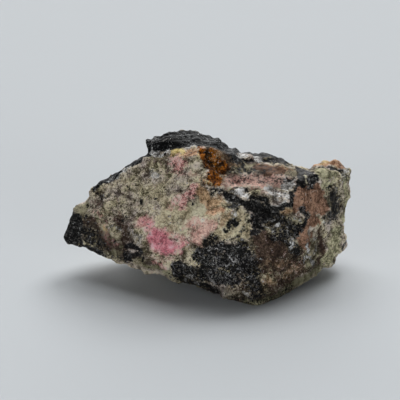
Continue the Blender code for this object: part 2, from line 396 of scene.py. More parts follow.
# %% Black
BLACK = {
    "wedge's foot": line((72, 240), (82, 246), (92, 250), (101, 253), wide=2.2, fade=1.4, share=0.95),
    "left shadow": line((80, 230), (90, 234), (99, 242), (86, 241), wide=3.6, fade=2.8, share=0.66),
    "upper shadow": line((78, 218), (83, 219), (88, 218), wide=1.0, fade=1.2, share=0.8),
    "patch": line((128, 247), (137, 247), (140, 251), wide=1.5),
    "patch, low": line((124, 256), (131, 257), (138, 254), wide=1.7),
    "grains by the edge": line((97, 192), (101, 196), (107, 197), wide=0.9, fade=1.2, share=0.75),
    "grain 7": line((132, 190), (130, 187), wide=0.6, fade=0.6, share=0.75),
    "grain 8": line((128, 217), (121, 221), wide=0.9, fade=1.2, share=0.65),
    "lower front": line(
        (216, 247), (229, 250), (241, 253), (245, 262), (234, 266), (221, 261), (212, 266),
        wide=4.6, fade=2.4, share=0.95,
    ),
    "lower left front": line((203, 250), (197, 257), (205, 260), (203, 268), wide=2.6, share=0.88),
    "lower edge": line((178, 268), (190, 272), (203, 275), (217, 278), (233, 279), wide=3.4, share=0.92),
    "foot of the front": line((172, 271), (186, 279), (200, 285), (216, 291), wide=2.2, fade=1.6, share=0.84),
    "foot of the left face": line((97, 250), (108, 254), (120, 258), (132, 261), wide=1.3, fade=1.8, share=0.6),
    "bench's grit": line((236, 177), (252, 174), (268, 175), (284, 176), wide=5.0, fade=2.0, share=0.33),
    "rim over the front": line((204, 242), (208, 238), (215, 241), wide=1.1, fade=1.4, share=0.85),
    "needle ground": line((240, 268), (249, 274), (254, 284), (256, 292), wide=4.0, fade=2.0, share=0.74),
    "needle ground, up": line((243, 245), (249, 254), (256, 262), wide=2.6, fade=1.4, share=0.8),
    "rim of the brown": line((251, 233), (257, 231), (262, 229), wide=1.3, fade=0.8, share=0.9),
    "below the vein": line(
        (250, 207), (262, 211), (272, 211), (266, 218), (258, 218), (257, 226), wide=3.2, fade=1.0
    ),
    "mottled field": line(
        (274, 217), (284, 221), (291, 229), (282, 235), (275, 234), (290, 243), (296, 250),
        wide=3.2, fade=1.8, share=0.74,
    ),
    "field's dark edge": line((296, 228), (300, 226), (297, 234), wide=1.6, share=0.9),
    "specks beside the blobs": line((245, 214), (248, 221), (244, 227), wide=0.7, fade=1.2, share=0.66),
    "specks under the blobs": line((238, 236), (233, 240), (247, 229), wide=0.7, fade=0.8, share=0.7),
    "right dark": line((335, 197), (338, 206), (334, 214), (328, 218), wide=2.8, fade=2.0, share=0.75),
    "right dark, up": line((329, 188), (333, 196), (330, 204), wide=1.8, fade=1.4, share=0.62),
    "island": line((303, 209), (306, 215), (304, 223), (300, 229), wide=2.0, fade=1.0, share=0.9),
    "under the pale slope": line((240, 170), (247, 172), (254, 170), wide=1.3, fade=0.8, share=0.82),
    "slope grains": line((222, 150), (230, 157), (236, 163), wide=1.6, fade=1.4, share=0.55),
}
JET = {
    "left wedge": line((66, 239), (68, 231), (72, 222), (74, 218), (78, 226), (74, 240), wide=3.0),
    "grain on the left edge": line((87, 205.5), wide=0.75, fade=0.25),
    "grain 1": line((154, 199), (157, 198), wide=0.6, fade=0.5),
    "grain 2": line((142, 203), (141, 200), wide=0.6, fade=0.4),
    "grain 3": line((135, 199), wide=0.6, fade=0.4, share=0.9),
    "grain 4": line((143, 259), wide=0.9, fade=0.4),
    "grain 5": line((109, 218), wide=0.5, fade=0.4, share=0.9),
    "grain 6": line((116, 241), (114, 242), wide=0.6, fade=0.4),
    "spot under the cap": line((165, 154), wide=0.7, fade=0.3),
    "vein's start": line((213, 188), (216, 190), (212, 193), wide=0.9, fade=0.8),
    "vein, upper grains": line((222, 188), (227, 192), (232, 197), wide=1.0, fade=1.0),
    "vein, middle": line((229, 197), (238, 200), (248, 203), (258, 207), wide=2.2, fade=0.9),
    "mass under the vein": line((246, 207), (256, 211), (266, 212), (274, 211), wide=1.8, fade=1.1, share=0.85),
    "mass, foot": line((258, 216), (260, 222), (257, 227), wide=1.3, fade=1.1, share=0.8),
    "vein, thin branch": line((232, 189.5), (240, 189), (247, 190), wide=0.6, fade=0.7),
    "vein, blob": line((253, 196), (260, 198), (267, 201), (270, 206), wide=1.7, fade=1.1),
    "vein under the bench": line((264, 208), (276, 209), (284, 208), (290, 204), wide=1.4, fade=0.6),
    "vein up the bench": line((290, 204), (291, 197), (293, 190), (297, 184), wide=1.1, fade=0.6),
    "front, dense": line((205, 248), (210, 254), (206, 262), wide=2.6, fade=1.8, share=0.84),
    "front, dense right": line((230, 248), (239, 251), wide=2.2, fade=1.6, share=0.84),
    "front, dense low": line((182, 268), (196, 273), (206, 270), wide=1.8, fade=1.6, share=0.8),
    "blob above": line((229, 208), (233, 205), (236, 210), wide=1.3, fade=0.7),
    "blob below": line((226, 230), wide=1.4, fade=0.6),
    "blob below, right": line((229, 226), (233, 222), (237, 224), wide=1.2, fade=0.8),
    "corner patch": line((299, 170), (305, 170), (300, 177), (303, 184), wide=2.2, fade=1.1),
    "corner patch, right": line((309, 172), (311, 180), (311, 186), (315, 177), wide=1.5, fade=1.1),
    "spot on the knob": line((331, 168), (336, 169), (341, 171), wide=1.5, fade=0.5),
    "dark chip": line((346, 242), (344, 247), (341, 251), wide=0.9, fade=0.4),
    "rust's dark spot": line((207, 174), wide=0.8, fade=0.4),
    "grain in the bench": line((288, 179), (290, 181), wide=0.6, fade=0.4, share=0.9),
    "mauve's grains": line((192, 203), wide=0.55, fade=0.3, share=0.9),
}
brush("black", BLACK)
brush("jet", JET)

# %% [markdown]
# ## Pink: tugtupite
#
# The stone is named for its pink patches. The heart on the front is the strongest. A dusty
# pink band runs to its right, mauve streaks run above it, and the bench is pink too.

# %% Pink, dusty pink and mauve
PINK = {
    "heart": line((157, 237), (162, 239), (160, 245), (166, 248), wide=4.2, fade=1.6),
    "heart, right": line((169, 242), (174, 247), (180, 247), wide=1.6, fade=1.6, share=0.8),
    "heart's foot": line((162, 253), (172, 254), (182, 252), wide=1.0, fade=1.4, share=0.62),
    "upper left": line((141, 221), (149, 219), (154, 224), (147, 226), wide=2.0, fade=1.6, share=0.64),
    "specks": line((178, 240), (186, 242), wide=0.9, fade=1.2, share=0.55),
}
DUSTY = {
    "band": line((190, 224), (200, 223), (210, 225), (203, 231), (195, 236), wide=2.6, fade=1.6),
    "band, low": line((192, 240), (198, 242), (200, 237), wide=2.0, fade=1.4, share=0.85),
    "round the heart": line((166, 232), (174, 236), (182, 239), (180, 246), wide=2.0, fade=1.8, share=0.7),
    "under the heart": line((153, 257), (160, 260), (172, 258), wide=1.4, fade=1.8, share=0.5),
    "left of the heart": line((141, 229), (146, 234), (149, 244), wide=1.2, fade=1.8, share=0.45),
    "upper left": line((141, 222), (151, 222), wide=2.8, fade=1.8, share=0.85),
    "bench": line((232, 183), (246, 180), (256, 181), (268, 181), (281, 180), wide=3.6, fade=1.6),
    "bench, front": line((264, 191), (275, 193), (285, 198), wide=1.4, fade=1.6, share=0.6),
    "bench's left": line((224, 183), (232, 185), wide=1.4, fade=1.4, share=0.55),
    "edge under the cap": line((204, 146), (202, 145), wide=0.6, fade=0.6, share=0.8),
    "slope": line((180, 173), (190, 175), (198, 174), wide=1.4, fade=1.8, share=0.4),
}
MAUVE = {
    "streak": line((194, 188), (190, 195), (185, 201), (182, 208), wide=1.8, fade=1.4, share=0.88),
    "streak's left": line((180, 198), (174, 204), (172, 209), wide=1.8, fade=1.8, share=0.62),
    "under the cap": line((175, 160), (181, 164), (179, 169), wide=2.4, fade=1.8, share=0.9),
    "crescent": line((147, 231), (153, 230), (157, 229), wide=0.9, fade=0.8, share=0.95),
    "bench, left": line((240, 181), (250, 180), wide=1.0, fade=1.2, share=0.6),
    "low left": line((157, 264), (164, 266), wide=1.4, fade=1.2, share=0.75),
    "left face": line((96, 212), (102, 214), (108, 240), (116, 244), wide=1.4, fade=2.0, share=0.42),
    "right face": line((321, 213), (326, 208), wide=1.0, fade=0.8, share=0.7),
    "heart's grains": line((184, 244), (178, 250), (170, 255), wide=1.0, fade=1.4, share=0.55),
}
brush("pink", PINK)
brush("dusty", DUSTY)
brush("mauve", MAUVE)

# %% [markdown]
# ## Pale minerals
#
# Cream and mint-coloured grains surround the pink. White albite shows as a streak behind the
# bench, as a thin band along the vein, and as loose crystals on the right face.

# %% Cream, mint and white
CREAM = {
    "middle": line((170, 215), (184, 213), (196, 215), (207, 218), (188, 224), wide=3.4, fade=2.2),
    "left of the middle": line((164, 199), (167, 209), (162, 217), (160, 224), wide=3.0, fade=2.4, share=0.85),
    "over the heart": line((168, 226), (178, 230), (186, 228), wide=2.2, fade=2.0, share=0.8),
    "left lump": line((150, 208), (156, 213), (152, 212), wide=1.8, fade=1.8, share=0.65),
    "above the blobs": line((218, 214), (225, 213), (222, 221), wide=2.0, fade=2.0, share=0.62),
    "beside the blobs": line((238, 215), (242, 214), (240, 221), (243, 224), wide=1.7, fade=0.8),
    "under the blobs": line((217, 232), (224, 236), (232, 233), (226, 238), wide=1.7, fade=1.0, share=0.95),
    "right of the rim": line((241, 232), (247, 234), (250, 229), wide=1.5, fade=1.0, share=0.85),
    "low islands": line((188, 250), (193, 260), (197, 268), wide=1.4, fade=1.6, share=0.55),
    "left edge": line((95, 186), (106, 184), (118, 183), (128, 182), wide=1.6, fade=1.8, share=0.55),
    "upper left": line((146, 187), (158, 187), (170, 183), (182, 181), wide=2.4, fade=2.4, share=0.46),
    "under the rust": line((194, 176), (201, 178), (190, 182), wide=1.8, fade=1.8, share=0.5),
    "cap's underside": line((186, 150), (193, 150), (199, 150), wide=0.8, fade=0.6, share=0.8),
    "left bright grain": line((106, 228), (107, 230), wide=0.6, fade=0.6, share=0.8),
    "tan edge of the bench": line((287, 170), (291, 172), (286, 174), wide=1.4, fade=1.2, share=0.7),
    "field's specks": line((279, 219), (283, 216), (288, 214), wide=0.7, fade=0.8, share=0.7),
}
MINT = {
    "middle": line((192, 207), (198, 205), (201, 211), (194, 213), wide=2.2, fade=1.4),
    "pale lump": line((78, 208), (81, 210), (84, 207), wide=2.8, fade=0.7, share=0.9),
    "pale lump, upper": line((85, 201), (87, 199), wide=0.9, fade=0.6, share=0.8),
    "slope": line((243, 164), (249, 165), (255, 164.5), wide=1.0, fade=0.8, share=0.66),
    "corner patch": line((306, 176), (307, 181), wide=1.0, fade=0.8, share=0.62),
    "field": line((294, 220), (297, 224), wide=1.1, fade=0.6, share=0.85),
}
WHITE = {
    "line by the cap": line((231, 150), (237, 155), (242, 158), wide=0.6, fade=0.35),
    "streak": line((241, 155), (247, 154), (253, 156), (260, 159), wide=1.8, fade=0.7),
    "vein's band": line((233, 192), (240, 193), (248, 194), wide=1.2, fade=0.6, share=0.85),
    "vein's thin line": line((248, 195), (255, 200), (261, 205), wide=0.6, fade=0.35),
    "bench's corner": line((285, 181), (289, 184), (286, 188), wide=1.7, fade=0.9, share=0.95),
    "bench's front": line((267, 190), (274, 194), (281, 197), (288, 195), wide=2.2, fade=1.6, share=0.72),
    "bench's lip": line((271, 204), (278, 205.5), (285, 202), wide=0.8, fade=0.5, share=0.85),
    "line by the vein": line((280, 210), (286, 209), wide=0.5, fade=0.4, share=0.85),
    "beside the blob": line((228, 203), (231, 200), (235, 214), (232, 217), wide=0.9, fade=0.9, share=0.72),
    "vein's start": line((219, 187), (221, 190), (218, 193), wide=0.9, fade=0.7, share=0.75),
    "under the cap": line((151, 153), (158, 153.5), (162, 155), (169, 151), wide=1.2, fade=0.6, share=0.85),
    "flecks in the cap": line((184, 146), (190, 145.5), (197, 146), wide=0.5, fade=0.4, share=0.85),
    "left edge": line((110, 179), (117, 177), (126, 172), (131, 168), wide=0.9, fade=0.8, share=0.62),
    "grey lump": line((152, 173), (156, 176), wide=1.8, fade=1.2, share=0.55),
    "left crystals": line((132, 233), (138, 238), (137, 243), wide=1.6, fade=1.8, share=0.46),
    "left grey": line((113, 227), (119, 229), wide=1.0, fade=0.8, share=0.6),
    "low patch": line((243, 292), (247, 295), wide=1.2, fade=0.8, share=0.66),
    "right grey": line((323, 223), (329, 221), (333, 218), wide=1.0, fade=1.0, share=0.6),
    "right end": line((334, 191), (336, 194), wide=0.6, fade=0.4, share=0.8),
    "knob's right": line((342, 168), (346, 172), (345, 177), wide=2.0, fade=1.6, share=0.6),
    "corner of the bench": line((289, 190), (291, 187), wide=0.6, fade=0.5, share=0.8),
}
CRYSTALS = {
    "cap's white fleck": line((161, 140), (169, 139.5), wide=0.5, fade=0.4, share=0.9),
    "crystal 1": line((307, 246), (308, 251), wide=0.9, fade=0.5),
    "crystal 2": line((306, 256), (304, 262), wide=0.6, fade=0.4, share=0.9),
    "crystal 3": line((309, 258), (313, 261), (314, 263), wide=1.1, fade=0.5),
    "crystal 4": line((313, 238), (314, 246), (316, 254), wide=1.0, fade=1.0, share=0.4),
    "field 1": line((264, 228), (267, 229), wide=0.8, fade=0.4, share=0.8),
    "field 2": line((272, 233), (275, 227), (279, 225), wide=0.9, fade=0.6, share=0.6),
    "field 3": line((293, 238), (294, 243), (292, 248), wide=0.9, fade=0.7, share=0.6),
    "field 4": line((295, 219), (298, 223), wide=0.7, fade=0.4, share=0.9),
    "field 5": line((268, 222), (274, 220), wide=0.8, fade=0.5, share=0.65),
    "field 6": line((284, 227), (288, 232), wide=0.7, fade=0.5, share=0.6),
    "low crystals": line((186, 278), (191, 276), (195, 281), wide=1.4, fade=0.7, share=0.66),
    "low crystals 2": line((211, 281), (214, 283), wide=0.9, fade=0.5, share=0.6),
    "low needle 1": line((243, 278), (244, 286), wide=0.4, fade=0.4, share=0.6),
    "low needle 2": line((253, 276), (254, 284), wide=0.4, fade=0.4, share=0.6),
    "low needle 3": line((240, 272), (240, 276), wide=0.5, fade=0.4, share=0.6),
    "grey band": line((218, 262), (230, 270), (246, 272), wide=3.0, fade=2.4, share=0.08),
    "front crystals": line((208, 270), (216, 276), (226, 272), wide=2.4, fade=2.0, share=0.12),
    "front crystals, up": line((230, 254), (237, 262), (227, 266), wide=2.2, fade=2.0, share=0.1),
    "front crystal": line((211, 247), (214, 249), wide=1.1, fade=0.8, share=0.55),
    "front crystal 2": line((231, 264), (235, 260), wide=0.7, fade=0.6, share=0.55),
    "front crystal 3": line((242, 246), (243, 249), wide=0.5, fade=0.4, share=0.6),
}
brush("cream", CREAM)
brush("mint", MINT)
brush("white", WHITE)
brush("crystal", CRYSTALS)

# %% [markdown]
# ## Stains and coloured grains
#
# Iron in the black mineral has weathered to rust at the top of the cleft. Its bright orange
# sits round a nearly black brown core. Salmon and brown grains make up the right face, and
# the knob behind it is peach.

# %% Rust, umber, tan and peach
RUST = {
    "under the cap": line((201, 148), (204, 153), (205, 158), wide=1.8, fade=0.8),
    "right": line((219, 160), (226, 166), (222, 171), wide=3.0, fade=1.4, share=0.9),
    "low": line((211, 172), (218, 174), (213, 179), (219, 180), wide=2.6, fade=1.2),
    "core": line((207, 164), (214, 170), (218, 173), wide=2.0, fade=1.2, share=0.85),
}
UMBER = {
    "core": line((208, 151), (211, 157), (209, 164), (215, 166), wide=2.2, fade=1.2, share=0.95),
    "right": line((216, 153), (220, 160), (226, 161), wide=1.8, fade=1.6, share=0.72),
    "low": line((206, 173), (214, 171), (221, 175), wide=1.0, fade=1.0, share=0.7),
    "below": line((204, 180), (208, 185), (214, 185), wide=1.2, fade=1.4, share=0.55),
    "cleft": line((228, 168), (222, 178), wide=1.0, fade=1.4, share=0.5),
}
TAN = {
    "left of the vein": line((200, 191), (205, 196), (207, 203), (214, 203), wide=2.8, fade=1.6),
    "towards the vein": line((219, 196), (221, 202), (216, 206), wide=1.6, fade=1.4, share=0.7),
    "above the blobs": line((224, 218), (221, 225), (230, 216), wide=1.6, fade=1.6, share=0.6),
    "bench's back": line((276, 168), (283, 168), (290, 170), wide=1.4, fade=1.0, share=0.7),
    "right face": line((281, 213), (287, 213), (291, 211), wide=1.3, fade=0.8, share=0.8),
    "low right": line((285, 276), (292, 280), (289, 272), wide=1.6, fade=1.6, share=0.4),
    "low grains": line((268, 276), (270, 284), (264, 280), wide=1.6, fade=1.4, share=0.45),
    "slope": line((219, 152), (228, 158), (235, 165), wide=1.8, fade=1.8, share=0.6),
    "below the field": line((266, 262), (276, 266), (286, 262), (296, 268), wide=1.8, fade=1.8, share=0.36),
}
PEACH = {
    "under the mint": line((209, 211), (215, 212), (220, 210), wide=1.8, fade=1.6, share=0.9),
    "under the cap": line((181, 154), (188, 153), (197, 152), wide=2.2, fade=1.6, share=0.8),
    "knob": line((316, 166), (324, 163), (333, 162), (343, 165), wide=2.2, fade=0.8),
    "bench's back edge": line((257, 164), (266, 164), (276, 165), wide=0.7, fade=0.5, share=0.95),
    "bench's back": line((258, 167), (272, 168), (284, 170), wide=2.0, fade=1.6, share=0.85),
    "right of the band": line((212, 220), (214, 226), wide=1.4, fade=1.4, share=0.6),
}
YELLOW = {
    "under the cap": line((173, 152), (178, 150), (182, 151), wide=1.8, fade=1.0, share=0.92),
    "beside the rust": line((199, 151), (200, 157), wide=0.9, fade=0.8, share=0.7),
    "knob": line((323, 164), (329, 162.5), wide=1.1, fade=0.7, share=0.6),
    "rust's foot": line((207, 182), (211, 184), wide=0.8, fade=0.8, share=0.6),
    "left grain": line((104, 227), (107, 231), wide=0.9, fade=0.8, share=0.7),
}
brush("rust", RUST)
brush("umber", UMBER)
brush("tan", TAN)
brush("peach", PEACH)
brush("yellow", YELLOW)

# %% [markdown]
# The right face and the far end are salmon, brown and olive, in patches that run down towards
# the foot.

# %% Salmon, brown and olive
SALMON = {
    "upper": line((298, 190), (307, 189), (317, 187), (321, 193), wide=2.2, fade=0.8),
    "middle": line((295, 200), (305, 199), (316, 199), (323, 203), wide=3.0, fade=0.8),
    "middle, low": line((297, 210), (296, 205), (313, 209), (321, 211), wide=2.2, fade=0.8),
    "neck": line((312, 217), (316, 221), (311, 224), wide=1.9, fade=0.8),
    "low": line((307, 223), (304, 230), (303, 238), (307, 246), wide=2.4, fade=0.8),
    "bench's back": line((256, 167), (265, 168), (276, 169), (282, 171), (266, 173), wide=2.4, share=0.8),
    "stripe under the field": line((312, 232), (308, 240), wide=1.2, fade=1.0, share=0.7),
    "low right": line((296, 266), (304, 262), (300, 256), wide=1.6, fade=2.0, share=0.42),
}
BROWN = {
    "smooth field": line(
        (259, 240), (267, 238), (275, 243), (281, 250), (272, 254), (260, 252), (266, 247), wide=2.8
    ),
    "field, upper": line((257, 234), (263, 234), wide=1.4, fade=0.8),
    "field, right": line((284, 256), (296, 256), (303, 250), wide=2.2, fade=1.8, share=0.7),
    "below the field": line((258, 262), (270, 262), (282, 264), (294, 264), wide=2.4, fade=1.6, share=0.8),
    "lower right": line(
        (262, 270), (274, 270), (288, 268), (300, 266), (298, 274), (284, 284), (272, 290),
        wide=3.2, fade=2.2, share=0.66,
    ),
    "lower right edge": line((276, 280), (280, 286), wide=2.0, fade=1.6, share=0.85),
    "bottom": line((240, 286), (250, 292), (262, 298), wide=3.0, fade=2.4, share=0.62),
    "right groove": line((319, 228), (320, 240), (321, 252), (320, 264), wide=1.5, fade=1.0, share=0.9),
    "left face": line(
        (82, 222), (92, 224), (102, 234), (112, 249), (124, 250), (127, 238), (126, 226), (118, 219),
        wide=3.2, fade=2.4, share=0.74,
    ),
    "left face, red": line((84, 225), (90, 226), wide=1.2, fade=1.2, share=0.8),
    "left edge": line((96, 192), (104, 196), (97, 203), wide=2.4, fade=2.2, share=0.6),
    "under the cap": line((150, 161), (160, 163), (171, 162), (168, 172), wide=2.2, fade=2.2, share=0.5),
    "middle specks": line((128, 190), (134, 200), (146, 203), (156, 196), wide=1.4, fade=2.0, share=0.42),
    "left of the cream": line((172, 205), (170, 213), wide=1.2, fade=1.4, share=0.5),
    "left foot": line((145, 262), (158, 266), (150, 252), wide=1.2, fade=2.0, share=0.42),
    "front, left rim": line((186, 252), (192, 247), (200, 243), wide=1.4, fade=1.6, share=0.55),
    "slope": line((218, 148), (227, 154), (234, 164), wide=2.4, fade=1.8, share=0.7),
    "arc at the end": line((342, 171), (344, 178), (343, 187), wide=0.9, fade=0.7, share=0.85),
    "island's border": line((299, 216), (301, 222), wide=1.0, fade=0.8, share=0.6),
    "knob's foot": line((333, 174), (337, 184), (332, 190), wide=1.2, fade=1.4, share=0.45),
}
OLIVE = {
    "far lump": line((335, 232), (336, 241), (332, 250), (327, 261), wide=3.2, fade=1.2),
    "upper right": line((318, 172), (327, 175), (334, 176), (326, 184), wide=2.6, fade=1.4, share=0.9),
    "far edge": line((346, 178), (346, 190), (345, 202), (343, 214), (342, 224), wide=1.6, share=0.85),
    "bottom edge": line((248, 303), (259, 304), (272, 299), (286, 291), wide=1.6, fade=1.4, share=0.78),
    "right bottom edge": line((290, 287), (300, 281), (311, 275), (319, 268), wide=1.6, share=0.85),
    "left bottom edge": line((144, 264), (153, 267), (168, 272), wide=1.3, fade=1.0, share=0.85),
    "left shelf": line((106, 252), (116, 253), (122, 248), wide=1.6, fade=1.4, share=0.62),
    "left grains": line((103, 225), (106, 232), (98, 218), wide=1.2, fade=1.2, share=0.55),
    "under the cap": line((149, 156), (156, 158), (166, 158), wide=0.9, fade=1.0, share=0.6),
    "beside the rust": line((202, 162), (200, 185), (205, 188), wide=1.4, fade=1.6, share=0.5),
    "blobs' right": line((246, 217), (249, 224), (246, 229), wide=1.4, fade=1.2, share=0.7),
    "low islands": line((186, 256), (194, 252), (198, 262), wide=1.6, fade=1.6, share=0.5),
    "right groove": line((308, 266), (315, 262), (318, 255), wide=1.6, fade=1.4, share=0.6),
    "slope": line((232, 166), (238, 170), (236, 176), wide=1.6, fade=1.6, share=0.5),
}
brush("salmon", SALMON)
brush("brown", BROWN)
brush("olive", OLIVE)

# %% [markdown]
# ## Painted shade
#
# The bench, the ledge behind it, the shelter along the lower edge and a few other spots fall
# darker because less light reaches them. That shade is painted on: a near-black mix that
# darkens whatever mineral lies under it.

# %% Painted shade
PAINTED_SHADE = {
    "pale lump": line((77, 208), (84, 207), wide=2.8, fade=1.4, share=0.6),
    "bench, back": line((246, 168), (262, 170), (280, 173), (292, 172), wide=4.0, fade=2.5, share=0.52),
    "bench, front": line((232, 182), (246, 180), (262, 181), (280, 182), wide=3.6, fade=2.5, share=0.66),
    "under the heart": line((140, 262), (158, 270), (176, 278), wide=2.6, fade=2.6, share=0.4),
    "ledge": line((264, 157), (276, 160), (288, 165), wide=3.4, fade=2.0, share=0.5),
    "knob": line((318, 165), (332, 162), (346, 168), wide=3.0, fade=2.0, share=0.2),
    "lower edge": line((178, 281), (200, 288), (224, 298), wide=3.4, fade=3.0, share=0.8),
    "front corner": line((224, 298), (250, 306), (266, 302), (290, 290), wide=3.6, fade=3.0, share=0.85),
    "right bottom edge": line((290, 286), (306, 278), (318, 270), wide=3.0, fade=2.4, share=0.55),
    "crystals below the salmon": line((310, 236), (313, 250), (312, 262), wide=2.4, fade=2.0, share=0.45),
    "left face": line((88, 228), (100, 236), (112, 246), (126, 246), wide=5.0, fade=4.0, share=0.3),
    "under the vein": line((248, 206), (262, 212), (278, 214), (292, 226), wide=4.0, fade=2.5, share=0.25),
    "right dark": line((332, 196), (335, 210), wide=3.0, fade=2.0, share=0.5),
}
brush("grime", PAINTED_SHADE)

# %% [markdown]
# ## The sides that the photograph doesn't show
#
# The back and the underside broke through the same rock, so they get the same minerals in
# patches of their own: black and brown crystals, pale sugary matrix, and small islands of pink
# and cream. Noise says where each lies, and it fades out where the photograph takes over.

# %% Hidden sides
PATCHES = {
    "black": {"size": 7.0, "offset": 11.0, "starts": 0.10, "full": 0.35},
    "brown": {"size": 8.0, "offset": 23.0, "starts": 0.12, "full": 0.45},
    "cream": {"size": 6.0, "offset": 37.0, "starts": 0.25, "full": 0.50},
    "salmon": {"size": 7.5, "offset": 71.0, "starts": 0.30, "full": 0.50},
    "pink": {"size": 5.0, "offset": 53.0, "starts": 0.36, "full": 0.80},
    "dusty": {"size": 5.0, "offset": 52.6, "starts": 0.24, "full": 0.64},
    "olive": {"size": 8.5, "offset": 89.0, "starts": 0.22, "full": 0.50},
}
for mineral, patch in PATCHES.items():
    field = noise_field(patch["size"], patch["offset"])
    share = smoothstep(patch["starts"], patch["full"], field) * hidden * (1 - shares["rind"])
    shares[mineral] = np.maximum(shares[mineral], share)
print("patches on the hidden sides:", len(PATCHES))

# %% [markdown]
# ## Relief
#
# Every mineral breaks in its own way. Sugary matrix crumbles into rounded lumps with soft
# hollows between them. Black crystals split into small flat splinters, and the rind into thin
# ledges. The smooth brown and mint minerals have hardly any grain. Each point moves along its
# normal by the relief of the minerals that it holds, and the foot stays flat.

# %% Moving the points
LUMP_MM = 4.4
LUMP_HEIGHT_MM = 1.35
LUMP_OCTAVES = 3
GRAIN_MM = 1.1
GRAIN_HEIGHT_MM = 0.1
SPLINTER_MM = 1.8
SPLINTER_TILT = 0.26
LEDGE_MM = 0.9
LEDGE_HEIGHT_MM = 0.22
PIT_MM = 2.0
PIT_DEPTH_MM = 0.3
FLAT_BELOW_MM = 0.25


def pebbles(p, size):
    """Rounded cells with creases between them, from -1 in a crease to 0 on a top."""
    nearest, second = noise.voronoi(p / size)[0][:2]
    inside = min(1, (second - nearest) / 0.5)
    return inside * (2 - inside) - 1


def splinter(p):
    q = p / SPLINTER_MM
    middle = noise.voronoi(q)[1][0]
    return SPLINTER_MM * SPLINTER_TILT * (q - middle).dot(noise.noise_vector(middle * 5.3))


def ledge(p):
    height = (p.dot(RIND_FACING) + 0.8 * noise.noise(p / 4) + 0.3 * noise.noise(p)) / LEDGE_MM
    rise = height - math.floor(height)
    return LEDGE_HEIGHT_MM * (min(1, max(0, (rise - 0.3) / 0.3)) - rise)


def pit(p):
    deep = noise.noise(p / PIT_MM + Vector((31, 17, 5)))
    return -PIT_DEPTH_MM * min(1, max(0, (deep - 0.35) / 0.25))


splintery = np.clip(shares["black"] + shares["jet"] + shares["rind"], 0, 1)
EVENNESS = {"mint": 0.8, "brown": 0.7, "cream": 0.4, "white": 0.5, "dusty": 0.5, "olive": 0.5, "salmon": 0.4}
even = np.clip(sum(shares[mineral] * amount for mineral, amount in EVENNESS.items()), 0, 0.8)
layered = shares["rind"]
relief = np.empty(count, np.float32)
for i, place in enumerate(places):
    p = Vector(place)
    sharp = float(splintery[i])
    sugary = (1 - 0.7 * sharp) * (1 - float(even[i]))
    lumps = noise.turbulence(p / LUMP_MM, LUMP_OCTAVES, True)
    warped = p + noise.noise_vector(p / 1.8) * 0.4
    out = sugary * (LUMP_HEIGHT_MM * lumps + GRAIN_HEIGHT_MM * pebbles(warped, GRAIN_MM)) + pit(p)
    out += (0.25 + 0.75 * sharp) * splinter(p) * (1 - float(layered[i]))
    relief[i] = out + float(layered[i]) * ledge(p)
relief -= relief.mean()
relief *= smoothstep(FLAT_BELOW_MM, 1.2, places[:, 2])
moved = (places + normals * relief[:, None]) * MM
stone.data.vertices.foreach_set("co", moved.ravel())
stone.data.update()
stone.data.shade_smooth()
print("relief from", round(float(relief.min()), 2), "to", round(float(relief.max()), 2), "mm")

# %% [markdown]
# ## Creases and crests
#
# Dirt and dark grains sit in the creases of a rough stone, and the creases also lie in shade,
# while its crests catch more light. So the colour is darkened in the creases, partly as dirt and
# partly as painted shade, and lightened on the crests as painted light. The mean height of a
# point's neighbours, taken a few times over, tells how much lower or higher the point lies
# than the skin around it. The material reads it as an attribute, with 0.5 for even ground.

# %% Attributes
NEIGHBOUR_ROUNDS = 7
CREASE_MM = 0.16

edges = np.empty(len(stone.data.edges) * 2, np.int32)
stone.data.edges.foreach_get("vertices", edges)
edges = edges.reshape(-1, 2)
ends = np.concatenate([edges[:, 0], edges[:, 1]])
starts = np.concatenate([edges[:, 1], edges[:, 0]])
neighbours = np.bincount(ends, minlength=count)


def neighbour_mean(values):
    return np.bincount(ends, weights=values[starts], minlength=count) / neighbours


around = relief
for _ in range(NEIGHBOUR_ROUNDS):
    around = neighbour_mean(around)
shares["crest"] = np.clip(0.5 + (relief - around) / CREASE_MM * 0.5, 0, 1)
for name, values in shares.items():
    attribute = stone.data.attributes.new(name, "FLOAT", "POINT")
    attribute.data.foreach_set("value", values.astype(np.float32))
print("attributes:", ", ".join(sorted(shares)))

# %% [markdown]
# ## Writing a material as sums
#
# A material is a net of nodes. Written as Python sums it is far shorter: a wire stands for one
# output socket, and a sum of wires adds the Math node that works it out.

# %% Wires and recipes


class Wire:
    """One output socket. Arithmetic on it adds Math nodes to its recipe."""

    def __init__(self, recipe, socket):
        self.recipe = recipe
        self.socket = socket

    def __add__(self, other):
        return self.recipe.math("ADD", self, other)

    def __sub__(self, other):
        return self.recipe.math("SUBTRACT", self, other)

    def __rsub__(self, other):
        return self.recipe.math("SUBTRACT", other, self)

    def __mul__(self, other):
        return self.recipe.math("MULTIPLY", self, other)

    __radd__ = __add__
    __rmul__ = __mul__


